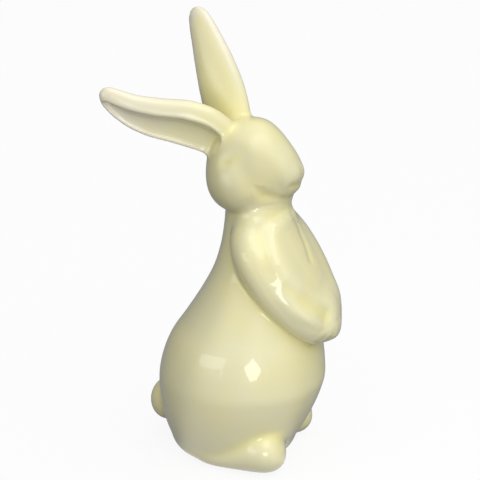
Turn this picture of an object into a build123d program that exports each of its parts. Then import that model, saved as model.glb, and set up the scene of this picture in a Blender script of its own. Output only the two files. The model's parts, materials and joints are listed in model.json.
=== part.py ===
from build123d import *
from math import cos, pi, radians, sin
import os

# A glazed, slip-cast earthenware rabbit that stands upright with one ear up and one laid back.
# Millimetres. +Z is up, the rabbit faces -Y and its right side is -X.
# The origin is the middle of its base.

# Casting
wall = 4.0
base_thickness = 5.0
vent_width = 11.0
vent_back = 12.0
overrun = 2.0

# Torso: a pear-shaped casting, from the flat base to the top of the neck inside the head
torso_height = 136.0
belly_height = 41.0
base_width = 50.0
belly_width = 79.0
belly_depth = 82.0
belly_lean = 3.6
neck_width = 29.0
neck_depth = 30.5
neck_lean = 12.2
# share of the belly's height, share of the swelling from base to belly, share of the belly's lean
lower_shares = [
    (0.0, 0.0, -0.3),
    (0.06, 0.21, -0.3),
    (0.25, 0.47, -0.2),
    (0.54, 0.77, 0.2),
    (0.85, 0.96, 0.75),
    (1.0, 1.0, 1.0),
]
# share of the height above the belly, share of the belly left over the neck,
# share of the neck's further lean
upper_shares = [
    (0.08, 0.97, 0.08),
    (0.2, 0.86, 0.26),
    (0.32, 0.66, 0.53),
    (0.45, 0.455, 0.82),
    (0.58, 0.26, 0.99),
    (0.7, 0.13, 1.02),
    (0.81, 0.055, 1.0),
    (0.92, 0.015, 0.97),
    (1.0, 0.0, 0.94),
]

# Head: an egg from the back of the skull to the nose, with a full cheek on each side
head_length = 45.6
head_width = 37.0
head_height = 39.0
head_rise = 14.0
head_overhang = 24.8
# share of the length from the back, then rise, half width and half height as shares of the half sizes
head_shares = [
    (0.0, -0.1, 0.12, 0.12),
    (0.02, -0.1, 0.33, 0.33),
    (0.075, -0.09, 0.58, 0.57),
    (0.2, -0.06, 0.87, 0.87),
    (0.375, -0.02, 1.0, 1.0),
    (0.55, 0.01, 0.93, 0.98),
    (0.7, -0.08, 0.77, 0.89),
    (0.83, -0.2, 0.63, 0.7),
    (0.93, -0.28, 0.48, 0.47),
    (0.985, -0.31, 0.27, 0.24),
    (1.0, -0.31, 0.09, 0.08),
]
cheek_length = 30.0
cheek_width = 24.6
cheek_spread = 15.4
cheek_inset = 18.3
cheek_drop = 10.2
cheek_blend = 3.0
eye_width = 8.0
eye_depth = 1.3
eye_inset = 17.1
eye_rise = 2.5
eye_blend = 1.0

# Ears: one leaf shape, hollowed on its outer side, set into the top of the head
ear_width = 23.0
ear_thickness = 11.0
# share of the length, share of the width, share of the thickness
ear_shares = [
    (0.0, 0.74, 0.91),
    (0.2, 0.97, 1.0),
    (0.4, 1.0, 0.93),
    (0.6, 0.87, 0.82),
    (0.78, 0.67, 0.67),
    (0.9, 0.51, 0.54),
    (0.96, 0.38, 0.42),
    (0.99, 0.22, 0.24),
]
# the hollow: share of the length, share of the ear's width there, share of its thickness there
hollow_shares = [
    (0.06, 0.2, 0.25),
    (0.1, 0.48, 0.6),
    (0.2, 0.66, 0.85),
    (0.4, 0.72, 0.95),
    (0.62, 0.73, 0.93),
    (0.78, 0.69, 0.82),
    (0.88, 0.47, 0.58),
    (0.93, 0.18, 0.25),
]
hollow_out_share = 0.95
hollow_down_share = 0.25
left_ear_aside = 5.0
left_ear_inset = 11.0
left_ear_rise = 1.8
left_ear_length = 69.0
left_ear_back_angle = 20.0
left_ear_out_angle = 6.5
left_ear_bow = 1.6
right_ear_aside = 6.0
right_ear_inset = 13.5
right_ear_rise = 6.8
right_ear_length = 65.5
right_ear_back_angle = 62.5
right_ear_out_angle = 26.0
right_ear_sway = 2.6

# Arms: from the shoulders down and forward until the hands meet over the belly
shoulder_drop = 13.0
shoulder_sink = 17.2
arm_drop = 53.5
hand_stand = 4.1
arm_spread = 19.0
arm_breadth = 20.0
arm_thickness = 17.0
# share of the drop, of the reach, of the spread, of the breadth and of the thickness
arm_shares = [
    (0.0, 0.0, 0.64, 0.65, 0.52),
    (0.1, 0.06, 0.8, 0.91, 0.76),
    (0.23, 0.135, 0.94, 1.0, 0.93),
    (0.47, 0.365, 1.0, 1.0, 1.0),
    (0.7, 0.64, 0.88, 0.88, 0.98),
    (0.865, 0.865, 0.6, 0.88, 0.95),
    (0.96, 0.955, 0.33, 0.81, 0.82),
    (0.99, 0.99, 0.1, 0.63, 0.7),
    (1.0, 1.0, -0.1, 0.46, 0.5),
]

# Chest: it swells forward between the arms, from under the chin to behind the hands
chest_depth = 26.0
chest_width = 52.0
chest_blend = 3.0
# the same shares of the arms' drop and reach, then no spread, and shares of the depth and the width
chest_shares = [
    (-0.02, 0.1, 0.0, 0.72, 0.34),
    (0.08, 0.185, 0.0, 0.94, 0.62),
    (0.18, 0.28, 0.0, 0.85, 0.84),
    (0.405, 0.53, 0.0, 0.71, 1.0),
    (0.635, 0.785, 0.0, 0.58, 0.88),
    (0.83, 0.945, 0.0, 0.5, 0.6),
    (0.935, 1.015, 0.0, 0.28, 0.26),
]

# Feet: wedges along the base that rise to a round toe, the right one a little ahead
foot_length = 42.5
foot_width = 22.8
foot_height = 22.0
foot_inset = 11.2
toe_setback = 1.4
toe_aside = 2.0
right_foot_lead = 3.6
# share of the length from the heel, then half width, middle height and half height
# as shares of the foot's sizes
foot_shares = [
    (0.0, 0.42, 0.1, 0.12),
    (0.1, 0.72, 0.16, 0.2),
    (0.3, 0.94, 0.27, 0.31),
    (0.5, 1.0, 0.39, 0.43),
    (0.69, 1.0, 0.49, 0.51),
    (0.83, 0.9, 0.5, 0.47),
    (0.93, 0.66, 0.48, 0.35),
    (0.98, 0.4, 0.45, 0.21),
    (1.0, 0.14, 0.44, 0.08),
]

# Tail: an egg on the back of the base
tail_length = 23.0
tail_width = 19.5
tail_height = 18.7
tail_stand = 0.4
tail_tilt = 14.0


def torso_levels(inset):
    """Height, lean, half width and half depth of each level of the torso, drawn in by the inset."""
    neck_rise = torso_height - belly_height
    for up, swell, lean in lower_shares:
        half_wide = (base_width + (belly_width - base_width) * swell) / 2
        half_deep = (base_width + (belly_depth - base_width) * swell) / 2
        yield belly_height * up, -belly_lean * lean, half_wide - inset, half_deep - inset
    for up, left, lean in upper_shares:
        half_wide = (neck_width + (belly_width - neck_width) * left) / 2
        half_deep = (neck_depth + (belly_depth - neck_depth) * left) / 2
        forward = belly_lean + (neck_lean - belly_lean) * lean
        yield belly_height + neck_rise * up, -forward, half_wide - inset, half_deep - inset


def between(rows, at):
    """What the rows of a table hold at a given first value, read off straight lines between the rows."""
    start, end = next(pair for pair in zip(rows, rows[1:]) if at <= pair[1][0])
    share = (at - start[0]) / (end[0] - start[0])
    return [low + (high - low) * share for low, high in zip(start[1:], end[1:])]


def head_levels(inset):
    """Place along Y, height, half width and half height of each upright section of the head."""
    for along, rise, wide, high in head_shares:
        half_wide = head_width / 2 * wide - inset
        half_high = head_height / 2 * high - inset
        place = head_back - head_length * along
        height = head_middle + head_height / 2 * rise
        if min(half_wide, half_high) > inset:
            yield place, height, half_wide, half_high


def ear_sections(ear, shares):
    """A plane across an ear for each row of shares, and the row: X to the upper edge, Z to the tip."""
    side, root, length, back, out, bow, sway = ear
    heading = Vector(0, sin(radians(back)), cos(radians(back))) * cos(radians(out))
    heading += Vector(side * sin(radians(out)), 0, 0)
    upper = Vector(0, -cos(radians(back)), sin(radians(back)))
    for along, wide, thick in shares:
        shift = bow * sin(pi * along) + sway * sin(2 * pi * along)
        middle = root + heading * (length * along) + upper * shift
        yield Plane(origin=middle, x_dir=upper, z_dir=heading), along, wide, thick


def stations(side, shares, breadth, thickness):
    """A plane across an arm or the chest at each station, its half breadth and its half thickness."""
    middles = [
        Vector(
            side * arm_spread * spread,
            shoulder_place + (hand_place - shoulder_place) * reach,
            shoulder_height - arm_drop * drop,
        )
        for drop, reach, spread, _, _ in shares
    ]
    before = [middles[0], *middles[:-1]]
    after = [*middles[1:], middles[-1]]
    for last, here, following, (_, _, _, broad, thick) in zip(before, middles, after, shares):
        heading = (following - last).normalized()
        across = heading.cross(Vector(1, 0, 0))
        plane = Plane(origin=here, x_dir=across, z_dir=heading)
        yield plane, breadth / 2 * broad, thickness / 2 * thick


os.makedirs("parts", exist_ok=True)

# Where the other pieces stand on the torso and the head
torso_rows = list(torso_levels(0))
head_middle = torso_height + head_rise
head_back = head_overhang - neck_lean
shoulder_height = torso_height - shoulder_drop
chest_lean, _, chest_deep = between(torso_rows, shoulder_height)
shoulder_place = chest_lean - chest_deep + shoulder_sink
lap_lean, _, lap_deep = between(torso_rows, shoulder_height - arm_drop)
hand_place = lap_lean - lap_deep - hand_stand
base_lean, base_wide, base_deep = between(torso_rows, foot_height / 2)
foot_aside = base_wide - foot_inset
toe_place = base_lean - base_deep + toe_setback
rump_lean, _, rump_deep = between(torso_rows, tail_height)
tail_place = rump_lean + rump_deep + tail_stand
left_ear_root = Vector(left_ear_aside, head_back - left_ear_inset, head_middle + left_ear_rise)
right_ear_root = Vector(-right_ear_aside, head_back - right_ear_inset, head_middle + right_ear_rise)

# Outer forms, which also cut the seats of the pieces that are stuck on
with BuildPart() as torso_form:
    for height, lean, half_wide, half_deep in torso_levels(0):
        with BuildSketch(Plane(origin=(0, lean, height))):
            Ellipse(half_wide, half_deep)
    loft()
    for plane, half_deep, half_wide in stations(0, chest_shares, chest_depth, chest_width):
        with BuildSketch(plane):
            Ellipse(half_deep, half_wide)
    loft()
    fillet(edges(Select.NEW).sort_by(SortBy.LENGTH)[-1], chest_blend)

with BuildPart() as head_form:
    for place, height, half_wide, half_high in head_levels(0):
        with BuildSketch(Plane(origin=(0, place, height), x_dir=(1, 0, 0), z_dir=(0, -1, 0))):
            Ellipse(half_wide, half_high)
    loft()
    for side in (-1, 1):
        cheek = Vector(side * cheek_spread / 2, head_back - cheek_inset, head_middle - cheek_drop)
        with BuildSketch(Plane(origin=cheek)):
            Ellipse(cheek_width / 2, cheek_length / 2)
            split(bisect_by=Plane.YZ)
        revolve(axis=Axis(cheek, (0, 1, 0)))
        fillet(edges(Select.NEW), cheek_blend)
    # eyes: shallow round dimples, each the cap of a ball that the skull's side cuts
    ball = (eye_width ** 2 / 4 + eye_depth ** 2) / (2 * eye_depth)
    eye_out = head_width / 2 - eye_depth + ball
    eye_place = head_back - eye_inset
    eye_height = head_middle + eye_rise
    with Locations((-eye_out, eye_place, eye_height), (eye_out, eye_place, eye_height)):
        Sphere(ball, mode=Mode.SUBTRACT)
    fillet(edges(Select.NEW), eye_blend)

# Torso: a hollow casting with an open neck and a vent in its flat base
with BuildPart() as torso_hollow:
    for height, lean, half_wide, half_deep in torso_levels(wall):
        with BuildSketch(Plane(origin=(0, lean, height))):
            Ellipse(half_wide, half_deep)
    with BuildSketch(Plane(origin=(0, lean, height + overrun))):
        Ellipse(half_wide, half_deep)
    loft()
    split(bisect_by=Plane.XY.offset(base_thickness), keep=Keep.TOP)

with BuildPart() as torso:
    add(torso_form.part)
    add(torso_hollow.part, mode=Mode.SUBTRACT)
    with BuildSketch(Plane.XY.offset(-overrun)):
        with Locations((0, vent_back)):
            Circle(vent_width / 2)
    extrude(amount=base_thickness + 2 * overrun, mode=Mode.SUBTRACT)
torso.part.label = "torso"
export_step(torso.part, "parts/torso.step")

# Head: a hollow casting that seats on the neck and is open to it
with BuildPart() as head_hollow:
    for place, height, half_wide, half_high in head_levels(wall):
        with BuildSketch(Plane(origin=(0, place, height), x_dir=(1, 0, 0), z_dir=(0, -1, 0))):
            Ellipse(half_wide, half_high)
    loft()

with BuildPart() as head:
    add(head_form.part)
    add(head_hollow.part, mode=Mode.SUBTRACT)
    add(torso_form.part, mode=Mode.SUBTRACT)
head.part.label = "head"
export_step(head.part, "parts/head.step")

# Ears: solid leaves with a hollow on the outer side, cut to the head
left = (1, left_ear_root, left_ear_length, left_ear_back_angle, left_ear_out_angle, left_ear_bow, 0)
right = (-1, right_ear_root, right_ear_length, right_ear_back_angle, right_ear_out_angle, 0, right_ear_sway)
for name, placing in (("left_ear", left), ("right_ear", right)):
    side = placing[0]
    with BuildPart() as ear:
        for plane, _, wide, thick in ear_sections(placing, ear_shares):
            with BuildSketch(plane):
                Ellipse(ear_width / 2 * wide, ear_thickness / 2 * thick)
        loft()
        for plane, along, wide, thick in ear_sections(placing, hollow_shares):
            leaf_wide, _ = between(ear_shares, along)
            half_wide = ear_width / 2 * leaf_wide * wide
            half_thick = ear_thickness / 2 * thick
            with BuildSketch(plane):
                with Locations((-half_wide * hollow_down_share, side * half_thick * hollow_out_share)):
                    Ellipse(half_wide, half_thick)
        loft(mode=Mode.SUBTRACT)
        add(head_form.part, mode=Mode.SUBTRACT)
    ear.part.label = name
    export_step(ear.part, f"parts/{name}.step")

# Arms: cut to the torso, and to each other where the hands meet
for name, side, keep in (("left_arm", 1, Keep.TOP), ("right_arm", -1, Keep.BOTTOM)):
    with BuildPart() as arm:
        for plane, half_broad, half_thick in stations(side, arm_shares, arm_breadth, arm_thickness):
            with BuildSketch(plane):
                Ellipse(half_broad, half_thick)
        loft()
        split(bisect_by=Plane.YZ, keep=keep)
        add(torso_form.part, mode=Mode.SUBTRACT)
    arm.part.label = name
    export_step(arm.part, f"parts/{name}.step")

# Feet: flat underneath and cut to the torso
for name, side, front in (("left_foot", 1, toe_place), ("right_foot", -1, toe_place - right_foot_lead)):
    with BuildPart() as foot:
        for along, wide, middle, high in foot_shares:
            aside = foot_aside + toe_aside * (along - 0.5)
            place = Vector(side * aside, front + foot_length * (1 - along), foot_height * middle)
            with BuildSketch(Plane(origin=place, x_dir=(1, 0, 0), z_dir=(0, -1, 0))):
                Ellipse(foot_width / 2 * wide, foot_height * high)
        loft()
        split(bisect_by=Plane.XY, keep=Keep.TOP)
        add(torso_form.part, mode=Mode.SUBTRACT)
    foot.part.label = name
    export_step(foot.part, f"parts/{name}.step")

# Tail: a tilted egg cut to the torso
with BuildPart() as tail:
    tail_middle = Vector(0, tail_place, tail_height)
    upright = Vector(0, -sin(radians(tail_tilt)), cos(radians(tail_tilt)))
    with BuildSketch(Plane(origin=tail_middle, x_dir=(1, 0, 0), z_dir=upright.cross(Vector(-1, 0, 0)))):
        Ellipse(tail_width / 2, tail_length / 2)
        split(bisect_by=Plane.YZ)
    revolve(axis=Axis(tail_middle, upright))
    add(torso_form.part, mode=Mode.SUBTRACT)
tail.part.label = "tail"
export_step(tail.part, "parts/tail.step")
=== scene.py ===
"""Looks of a glazed earthenware rabbit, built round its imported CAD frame.

The nine cast and stuck-on pieces are described as distance forms in millimetres, from the sizes of the
construction. Melted glaze rounds every joint between them, so the forms are blended before they are
meshed, and the meshed skin is then parted along the joints into one closed piece for each CAD node.
"""

import json
import math

import bpy
import numpy as np
from bpy.props import FloatProperty, FloatVectorProperty, PointerProperty
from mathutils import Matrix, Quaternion, Vector

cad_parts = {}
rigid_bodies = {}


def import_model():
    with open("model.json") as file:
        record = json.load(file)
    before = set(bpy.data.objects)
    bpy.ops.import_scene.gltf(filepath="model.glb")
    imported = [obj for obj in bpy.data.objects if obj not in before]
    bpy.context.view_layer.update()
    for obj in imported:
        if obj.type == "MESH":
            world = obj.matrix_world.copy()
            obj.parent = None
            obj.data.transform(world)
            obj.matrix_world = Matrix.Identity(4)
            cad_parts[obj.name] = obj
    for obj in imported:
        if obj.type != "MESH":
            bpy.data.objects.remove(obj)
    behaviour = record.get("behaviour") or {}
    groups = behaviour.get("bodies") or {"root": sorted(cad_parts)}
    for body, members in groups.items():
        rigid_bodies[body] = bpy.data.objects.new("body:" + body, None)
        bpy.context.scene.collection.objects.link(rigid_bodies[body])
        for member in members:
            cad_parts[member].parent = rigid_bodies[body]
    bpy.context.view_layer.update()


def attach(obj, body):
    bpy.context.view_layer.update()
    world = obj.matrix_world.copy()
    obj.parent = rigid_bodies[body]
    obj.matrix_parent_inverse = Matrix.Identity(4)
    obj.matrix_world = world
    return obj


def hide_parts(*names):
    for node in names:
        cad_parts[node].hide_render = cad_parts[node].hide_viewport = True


bl_info = {
    "name": "Glazed Rabbit Figurine",
    "version": (1, 0, 0),
    "blender": (4, 5, 0),
    "location": "3D View > Sidebar > Rabbit",
    "description": "Builds the glazed skin, the materials and the studio of a ceramic rabbit",
    "category": "Object",
}

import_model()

MM = 0.001
AXES = np.eye(3)

# Torso, by the driving sizes of the construction. From the base to the belly, each row is a share of the
# height, of the swell and of the lean; from there to the neck, a share of the height, of the swell that is
# left and of the further lean
BELLY_HEIGHT, TORSO_HEIGHT = 41.0, 136.0
BASE_WIDTH, BELLY_WIDTH, BELLY_DEPTH, BELLY_LEAN = 50.0, 79.0, 82.0, 3.6
NECK_WIDTH, NECK_DEPTH, NECK_LEAN = 29.0, 30.5, 12.2
LOWER_SHARES = (
    (0.0, 0.0, -0.3),
    (0.06, 0.21, -0.3),
    (0.25, 0.47, -0.2),
    (0.54, 0.77, 0.2),
    (0.85, 0.96, 0.75),
    (1.0, 1.0, 1.0),
)
UPPER_SHARES = (
    (0.08, 0.97, 0.08),
    (0.2, 0.86, 0.26),
    (0.32, 0.66, 0.53),
    (0.45, 0.455, 0.82),
    (0.58, 0.26, 0.99),
    (0.7, 0.13, 1.02),
    (0.81, 0.055, 1.0),
    (0.92, 0.015, 0.97),
    (1.0, 0.0, 0.94),
)
NECK_SOFTNESS, CHEST_SOFTNESS = 4.0, 4.0

# Head: share of the length from the back, then rise, half width and half height as shares
HEAD_LENGTH, HEAD_WIDTH, HEAD_HEIGHT = 45.6, 37.0, 39.0
HEAD_MIDDLE, HEAD_BACK = 150.0, 12.6
HEAD_SHARES = (
    (0.0, -0.1, 0.12, 0.12),
    (0.02, -0.1, 0.33, 0.33),
    (0.075, -0.09, 0.58, 0.57),
    (0.2, -0.06, 0.87, 0.87),
    (0.375, -0.02, 1.0, 1.0),
    (0.55, 0.01, 0.93, 0.98),
    (0.7, -0.08, 0.77, 0.89),
    (0.83, -0.2, 0.63, 0.7),
    (0.93, -0.28, 0.48, 0.47),
    (0.985, -0.31, 0.27, 0.24),
    (1.0, -0.31, 0.09, 0.08),
)
CHEEK_MIDDLE = (7.7, -5.7, 139.3)
CHEEK_SIZE = (12.3, 15.0, 13.4)
JAW_MIDDLE = (0.0, -14.5, 136.0)
JAW_SIZE = (13.5, 14.5, 10.0)
CHEEK_SOFTNESS, JAW_SOFTNESS = 7.0, 4.0

# Face: lines pressed into each side, with the reach of their walls and their depth
CREASE_LINE = ((17.2, -8.0, 155.0), (17.5, -11.0, 149.5), (17.0, -14.5, 143.5))
MOUTH_LINE = (CREASE_LINE[-1], (13.8, -19.0, 138.0), (7.5, -25.0, 134.8), (0.0, -28.5, 134.8))
NOSE_LINE = ((0.0, -33.5, 140.4), (4.0, -32.2, 140.8), (6.5, -30.8, 141.2))
CREASE_REACH, MOUTH_REACH, MOUTH_DEPTH = 5.6, 3.2, 1.0
NOSE_REACH, NOSE_DEPTH = 1.8, 0.5
# Dimples round the eye, then the nose, which swells instead: depth, middle and radius
DIMPLES = (
    (0.3, (17.2, -6.0, 156.0), 4.5),
    (0.8, (17.8, -2.4, 152.4), 3.0),
    (-0.5, (3.5, -32.5, 146.0), 3.6),
)

# Ears: share of the length, of the width and of the thickness; the hollow's rows also say, before the width,
# how far below the leaf's middle they sit
EAR_WIDTH, EAR_THICKNESS = 23.0, 11.0
EAR_SHARES = (
    (0.0, 0.74, 0.91),
    (0.2, 0.97, 1.0),
    (0.4, 1.0, 0.93),
    (0.6, 0.87, 0.82),
    (0.78, 0.67, 0.67),
    (0.9, 0.51, 0.54),
    (0.96, 0.38, 0.42),
    (0.99, 0.22, 0.24),
)
HOLLOW_SHARES = (
    (0.04, 0.45, 0.25, 0.3),
    (0.09, 0.45, 0.6, 0.7),
    (0.2, 0.5, 0.83, 0.9),
    (0.4, 0.5, 0.83, 0.94),
    (0.62, 0.52, 0.79, 0.88),
    (0.78, 0.53, 0.67, 0.73),
    (0.88, 0.52, 0.44, 0.5),
    (0.94, 0.5, 0.2, 0.22),
)
# How far outside the leaf's middle the hollow's lies, as a share of the hollow's half thickness
HOLLOW_OUT = 1.05
HOLLOW_SOFTNESS = 1.5
# Side, root, length, angle back, angle out, bow and sway
EAR_PLACES = {
    "left_ear": (1, (5.0, 1.6, 151.8), 69.0, 20.0, 6.5, 1.6, 0.0),
    "right_ear": (-1, (-6.0, -0.9, 156.8), 65.5, 62.5, 26.0, 0.0, 2.6),
}

# Arms: share of the drop, of the reach, of the spread, of the breadth and of the thickness
SHOULDER = (-11.0, 123.0)
ARM_DROP, ARM_REACH, ARM_SPREAD = 53.5, 34.0, 19.0
ARM_BREADTH, ARM_THICKNESS = 20.0, 17.0
HAND_MIDDLE = (3.0, -41.5, 76.5)
HAND_SIZE = (7.5, 8.2, 8.2)
PALM_SOFTNESS, HANDS_OVERLAP, HANDS_SOFTNESS = 5.0, 0.3, 3.0
ARM_SHARES = (
    (0.0, 0.0, 0.64, 0.65, 0.52),
    (0.1, 0.06, 0.8, 0.91, 0.76),
    (0.23, 0.135, 0.94, 1.0, 0.93),
    (0.47, 0.365, 1.0, 1.0, 1.0),
    (0.7, 0.64, 0.88, 0.88, 0.98),
    (0.865, 0.865, 0.6, 0.88, 0.95),
    (0.96, 0.955, 0.33, 0.81, 0.82),
    (1.0, 1.0, -0.02, 0.52, 0.58),
)
# Chest: the same shares of the arms' drop and reach, then no spread, and shares of the depth and the width
CHEST_DEPTH, CHEST_WIDTH = 26.0, 52.0
CHEST_SHARES = (
    (-0.02, 0.1, 0.0, 0.72, 0.34),
    (0.08, 0.185, 0.0, 0.94, 0.62),
    (0.18, 0.28, 0.0, 0.85, 0.84),
    (0.405, 0.53, 0.0, 0.71, 1.0),
    (0.635, 0.785, 0.0, 0.58, 0.88),
    (0.83, 0.945, 0.0, 0.5, 0.6),
    (0.935, 1.015, 0.0, 0.28, 0.26),
)

# Feet: share of the length from the heel, half width, middle height and half height
FOOT_LENGTH, FOOT_WIDTH, FOOT_HEIGHT = 42.5, 22.8, 22.0
FOOT_ASIDE, TOE_ASIDE = 20.9, 2.0
FOOT_FRONTS = {"left_foot": (1, -32.4), "right_foot": (-1, -34.4)}
FOOT_SHARES = (
    (0.0, 0.42, 0.1, 0.12),
    (0.1, 0.72, 0.16, 0.2),
    (0.3, 0.94, 0.27, 0.31),
    (0.5, 1.0, 0.39, 0.43),
    (0.69, 1.0, 0.49, 0.51),
    (0.83, 0.9, 0.5, 0.47),
    (0.93, 0.66, 0.48, 0.35),
    (0.98, 0.4, 0.45, 0.21),
    (1.0, 0.14, 0.44, 0.08),
)

# Tail: an egg that leans back
TAIL_MIDDLE, TAIL_SIZE, TAIL_TILT = (0.0, 36.0, 18.7), (9.75, 9.75, 11.5), 14.0

# The box that holds the chest, the arms and the valleys between them
CHEST_BOX = ((-38, -64, 46), (38, 14, 142))

# Valleys modelled between the chest and the arms: depth, half width and line
VALLEYS = (
    (
        2.4,
        4.6,
        (
            (-20.5, -21.0, 121.0),
            (-23.5, -24.1, 114.5),
            (-26.5, -27.2, 107.3),
            (-26.6, -32.7, 99.3),
            (-22.7, -39.6, 93.0),
            (-14.1, -47.4, 84.9),
            (-9.5, -49.6, 80.6),
        ),
    ),
    (
        0.5,
        2.2,
        (
            (0.5, -29.0, 126.0),
            (4.5, -30.8, 118.5),
            (3.6, -34.6, 111.0),
            (0.4, -38.2, 104.1),
        ),
    ),
)

# Base, and the vent in it
BASE_SOFTNESS, VENT_SOFTNESS = 3.0, 1.0
VENT_RADIUS, VENT_BACK, VENT_DEPTH = 5.5, 12.0, 16.0

# Pieces, the box in which each is worked out, and how widely glaze rounds its joint below and above the
# line of the arms
PIECES = {
    "torso": ((-46, -60, -4), (46, 60, 150), (0.0, 0.0)),
    "head": ((-30, -48, 116), (30, 30, 182), (2.2, 2.2)),
    "left_ear": ((-10, -26, 146), (32, 48, 226), (3.0, 3.0)),
    "right_ear": ((-48, -26, 142), (10, 70, 202), (3.0, 3.0)),
    "left_arm": ((-13, -64, 46), (38, 14, 142), (2.2, 8.5)),
    "right_arm": ((-38, -64, 46), (13, 14, 142), (2.2, 8.5)),
    "left_foot": ((2, -50, -4), (44, 28, 34), (3.5, 3.5)),
    "right_foot": ((-44, -50, -4), (-2, 28, 34), (3.5, 3.5)),
    "tail": ((-20, 16, -4), (20, 60, 42), (3.0, 3.0)),
}
# Distances over the arms' line where the first rounding ends and the second is full
BELOW, ABOVE = -4.0, 6.0

# The distance of points outside every box, and how far a stack's axis runs on beyond its rows
FAR = 40.0
# Stops along a stack's axis, and the least square of a half size
STACK_STOPS, LEAST_SQUARE = 2400, 0.2
# Straight runs in which a limb's nearest place is sought, and stops in each for its sections
LIMB_RUNS, LIMB_STRIDE = 20, 16

# Mesh: how near the skin is sought, how seams are evened out, how bends are felt, and how deep lids sink
SETTLE_REACH, FLATTEST = 0.05, 0.05
SEAM_ROUNDS, SEAM_SNAP = 8, 0.04
NORMAL_REACH, BEND_REACH, STRONGEST_BEND = 0.25, 0.9, 1.2
BEND_ROUNDS, WIDE_BEND_ROUNDS = 3, 24
LID_DEPTH = 5.0


# Distance forms


def smooth_min(a, b, k):
    """The nearer of two distances, rounded where they are within k of each other."""
    share = np.clip(0.5 + 0.5 * (b - a) / k, 0, 1)
    return b * (1 - share) + a * share - k * share * (1 - share)


def smooth_max(a, b, k):
    """The further of two distances, rounded where they are within k of each other."""
    return -smooth_min(-a, -b, k)


def curve(knots, values, at):
    """Values along a smooth curve through knots, carried on straight beyond both ends."""
    step = np.diff(knots)
    slope = np.diff(values) / step
    tangent = np.empty(len(knots))
    tangent[1:-1] = (slope[:-1] * step[1:] + slope[1:] * step[:-1]) / (step[:-1] + step[1:])
    tangent[0] = 2 * slope[0] - tangent[1]
    tangent[-1] = 2 * slope[-1] - tangent[-2]
    held = np.clip(at, knots[0], knots[-1])
    i = np.clip(np.searchsorted(knots, held, side="right") - 1, 0, len(step) - 1)
    t = (held - knots[i]) / step[i]
    smooth = (
        (2 * t**3 - 3 * t**2 + 1) * values[i]
        + (t**3 - 2 * t**2 + t) * step[i] * tangent[i]
        + (3 * t**2 - 2 * t**3) * values[i + 1]
        + (t**3 - t**2) * step[i] * tangent[i + 1]
    )
    return smooth + np.minimum(at - knots[0], 0) * tangent[0] + np.maximum(at - knots[-1], 0) * tangent[-1]


class Stack:
    """A form through elliptical sections that stand across one straight axis.

    Rows hold the place along the axis, the middle's two shifts and the two half sizes.
    """

    def __init__(self, origin, axis, across, rows):
        self.origin, self.axis, self.across = (np.asarray(v, float) for v in (origin, axis, across))
        self.over = np.cross(self.axis, self.across)
        knots, shift_u, shift_v, half_u, half_v = np.asarray(rows, float).T
        self.places = np.linspace(knots[0] - FAR, knots[-1] + FAR, STACK_STOPS)
        held = np.clip(self.places, knots[0], knots[-1])
        square = curve(knots, half_u**2, self.places)
        ratio = curve(knots, (half_v / half_u) ** 2, held)
        columns = [curve(knots, shift_u, held), curve(knots, shift_v, held), square, ratio]
        self.columns = columns + [np.gradient(column, self.places) for column in columns]

    def __call__(self, points):
        local = points - self.origin
        place = local @ self.axis
        read = [np.interp(place, self.places, column) for column in self.columns]
        shift_u, shift_v, square, ratio, slope_u, slope_v, slope_square, slope_ratio = read
        u = local @ self.across - shift_u
        v = local @ self.over - shift_v
        level = u**2 + v**2 / ratio - square
        along = -2 * u * slope_u - 2 * v * slope_v / ratio - (v / ratio) ** 2 * slope_ratio - slope_square
        steep = np.sqrt(4 * u**2 + 4 * (v / ratio) ** 2 + along**2)
        return level / np.maximum(steep, np.sqrt(np.maximum(square, LEAST_SQUARE)))


class Limb:
    """A form through elliptical sections that stand across a bent line."""

    def __init__(self, middles, halves):
        middles = np.asarray(middles, float)
        gone = np.r_[0, np.cumsum(np.linalg.norm(np.diff(middles, axis=0), axis=1))]
        self.places = np.linspace(0, gone[-1], LIMB_RUNS * LIMB_STRIDE + 1)
        self.line = np.stack([curve(gone, middles[:, i], self.places) for i in range(3)], 1)
        self.heading = np.gradient(self.line, self.places, axis=0)
        self.halves = [curve(gone, np.asarray(h, float), self.places) for h in zip(*halves)]

    def __call__(self, points):
        flat = points.reshape(-1, 3)
        best = np.full(len(flat), np.inf)
        place = np.zeros(len(flat))
        coarse, stops = self.line[::LIMB_STRIDE], self.places[::LIMB_STRIDE]
        for start, end, begin, finish in zip(coarse[:-1], coarse[1:], stops[:-1], stops[1:]):
            run = end - start
            away = flat - start
            share = np.clip(away @ run / (run @ run), 0, 1)
            away -= share[:, None] * run
            square = np.einsum("ij,ij->i", away, away)
            nearer = square < best
            best[nearer] = square[nearer]
            place[nearer] = (begin + share * (finish - begin))[nearer]
        columns = (*self.line.T, *self.heading.T, *self.halves)
        read = [np.interp(place, self.places, column) for column in columns]
        offset = flat - np.stack(read[:3], 1)
        tangent = np.stack(read[3:6], 1)
        tangent /= np.linalg.norm(tangent, axis=1, keepdims=True)
        broad, thick = read[6:]
        across = np.cross(tangent, AXES[0])
        across /= np.linalg.norm(across, axis=1, keepdims=True)
        over = np.cross(tangent, across)
        parts = [np.einsum("ij,ij->i", offset, way) for way in (across, over, tangent)]
        sizes = (broad, thick, np.sqrt(broad * thick))
        return ellipse_distance(parts, sizes).reshape(points.shape[:-1])


def ellipse_distance(parts, sizes):
    """Distance, near enough, from an ellipse or ellipsoid, given the parts of each point along its axes."""
    near = np.sqrt(sum((part / size) ** 2 for part, size in zip(parts, sizes)))
    slope = np.sqrt(sum((part / size**2) ** 2 for part, size in zip(parts, sizes))) + 1e-9
    return near * (near - 1) / slope


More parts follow.
